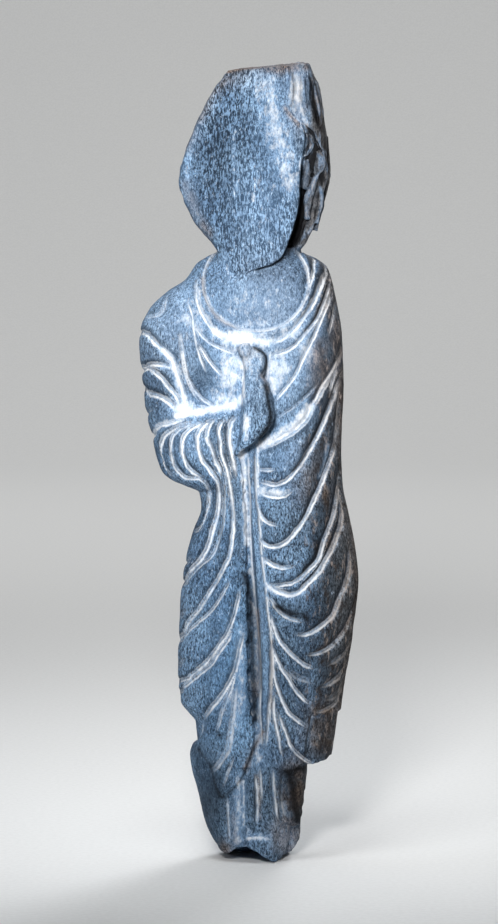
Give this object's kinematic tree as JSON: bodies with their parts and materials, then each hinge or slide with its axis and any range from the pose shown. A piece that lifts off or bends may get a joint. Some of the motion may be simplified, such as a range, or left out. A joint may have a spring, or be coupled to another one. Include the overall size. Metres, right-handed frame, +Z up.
{
  "type": "broken standing Buddha figure in schist",
  "caption": "Worn stone Buddha standing in a full robe, with the face sheared off flat, the raised hand broken and the feet gone.",
  "frame": {"origin": "middle of the underside: x and y at the middle of the outer size, z at the lowest point of the broken ankles", "axes": "+Z up along the figure, +X to the viewer's right of the front, and the front of the figure faces -Y"},
  "size_m": [0.1427, 0.0905, 0.5179],
  "materials": {
    "schist": "matte"
  },
  "bodies": {
    "root": {"standing_figure": "schist"}
  },
  "joints": []
}
